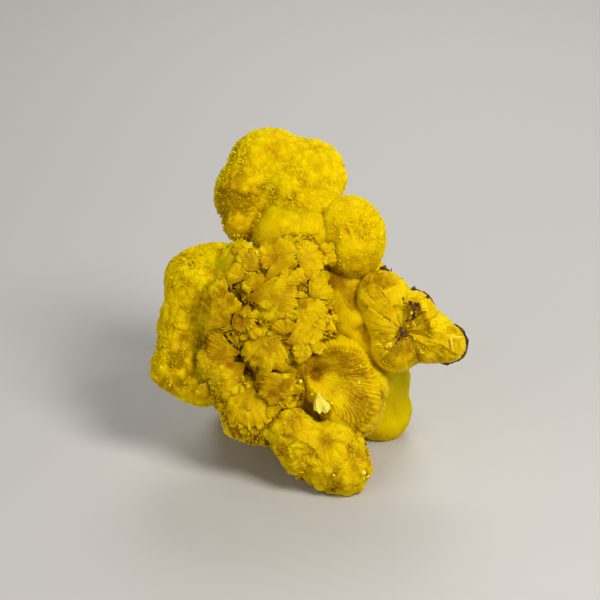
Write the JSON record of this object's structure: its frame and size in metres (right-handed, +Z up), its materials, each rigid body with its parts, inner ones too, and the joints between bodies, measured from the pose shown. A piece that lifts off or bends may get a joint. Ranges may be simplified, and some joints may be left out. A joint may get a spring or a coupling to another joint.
{
  "type": "vanuralite crystal cluster",
  "caption": "Free-standing cluster of radiating tabular yellow crystals grown into one lumpy mass, with a side wing that keeps a thin plate of brown host rock",
  "frame": {"origin": "on the resting plane, under the middle of the specimen's bounding box", "axes": "+Z up as it stands, -Y out of the broad crystal face that is usually shown, +X towards the wing"},
  "size_m": [0.014, 0.0118, 0.0139],
  "materials": {
    "vanuralite": "canary-yellow tabular crystals, waxy to pearly, ochre in the recesses and brown at the broken ball's nucleus",
    "host_rock": "dark brown, rough and dull"
  },
  "bodies": {
    "root": {"crystal_cluster": "vanuralite", "rock_plate": "host_rock"}
  },
  "joints": []
}
